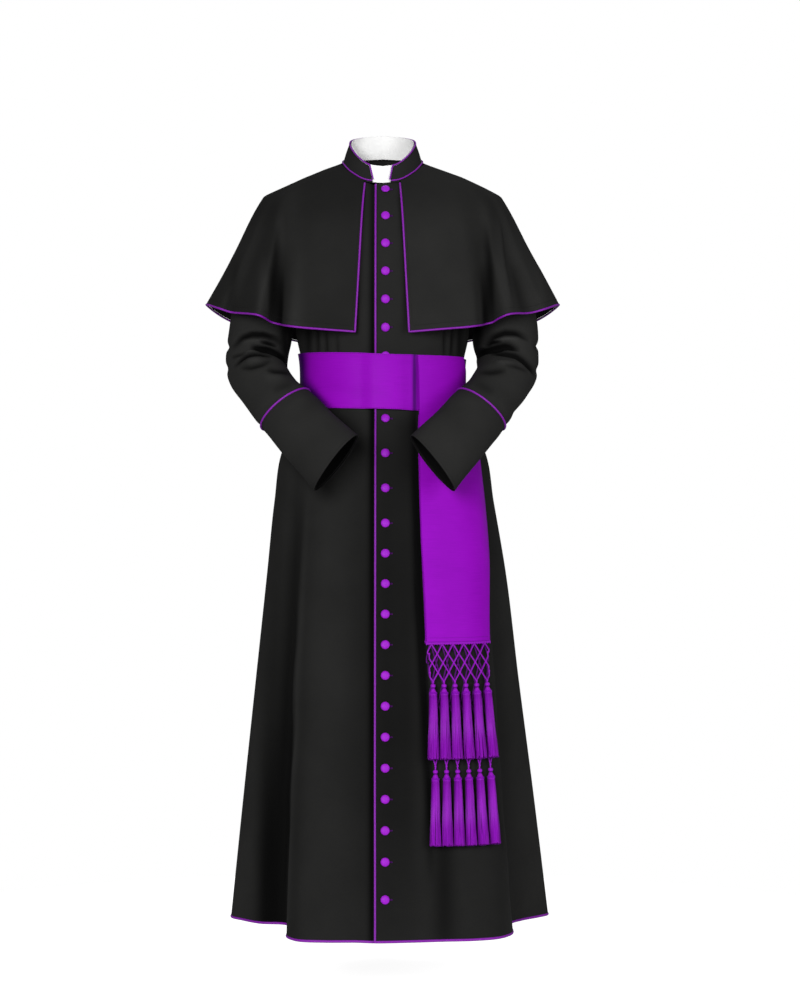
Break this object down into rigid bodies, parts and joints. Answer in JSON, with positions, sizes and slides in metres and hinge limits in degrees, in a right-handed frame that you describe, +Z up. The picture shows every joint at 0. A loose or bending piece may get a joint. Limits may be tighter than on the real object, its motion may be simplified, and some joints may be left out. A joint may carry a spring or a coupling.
{
  "type": "cassock with shoulder cape and fringed sash",
  "caption": "Black buttoned cassock with a shoulder cape, purple piping and covered buttons, and a purple sash with two fringed falls, hollow as worn with the hands together.",
  "frame": {"origin": "between the shoulders, level with the collar's seam at the side of the neck, on the axis of the closed front", "axes": "+Z up, -Y the way the wearer faces, +X the wearer's left"},
  "size_m": [0.6733, 0.5576, 1.4906],
  "materials": {
    "black_wool": "matt black wool twill",
    "purple_satin": "purple ribbed silk with a soft sheen",
    "purple_cord": "purple satin-covered piping",
    "purple_thread": "purple twisted silk thread",
    "purple_button": "purple cloth stretched over a domed button",
    "white_collar": "smooth white stiffened band"
  },
  "bodies": {
    "root": {"front_left": "black_wool", "front_right": "black_wool", "back": "black_wool", "sleeve_left": "black_wool", "sleeve_right": "black_wool", "cuff_left": "black_wool", "cuff_right": "black_wool", "collar": "black_wool", "cape": "black_wool", "collar_insert": "white_collar", "piping_front": "purple_cord", "piping_hem": "purple_cord", "piping_cape": "purple_cord", "piping_collar_seam": "purple_cord", "piping_collar_edge": "purple_cord", "piping_cuff_left": "purple_cord", "piping_cuff_right": "purple_cord", "sash_band": "purple_satin", "fall_front": "purple_satin", "fall_rear": "purple_satin", "net_front": "purple_thread", "net_rear": "purple_thread", "tassel_front_1": "purple_thread", "tassel_front_2": "purple_thread", "tassel_front_3": "purple_thread", "tassel_front_4": "purple_thread", "tassel_front_5": "purple_thread", "tassel_front_6": "purple_thread", "tassel_rear_1": "purple_thread", "tassel_rear_2": "purple_thread", "tassel_rear_3": "purple_thread", "tassel_rear_4": "purple_thread", "tassel_rear_5": "purple_thread", "tassel_rear_6": "purple_thread", "button_01": "purple_button", "button_02": "purple_button", "button_03": "purple_button", "button_04": "purple_button", "button_05": "purple_button", "button_06": "purple_button", "button_07": "purple_button", "button_08": "purple_button", "button_09": "purple_button", "button_10": "purple_button", "button_11": "purple_button", "button_12": "purple_button", "button_13": "purple_button", "button_14": "purple_button", "button_15": "purple_button", "button_16": "purple_button", "button_17": "purple_button", "button_18": "purple_button", "button_19": "purple_button", "button_20": "purple_button", "button_21": "purple_button", "button_22": "purple_button", "button_23": "purple_button", "button_24": "purple_button"}
  },
  "joints": []
}
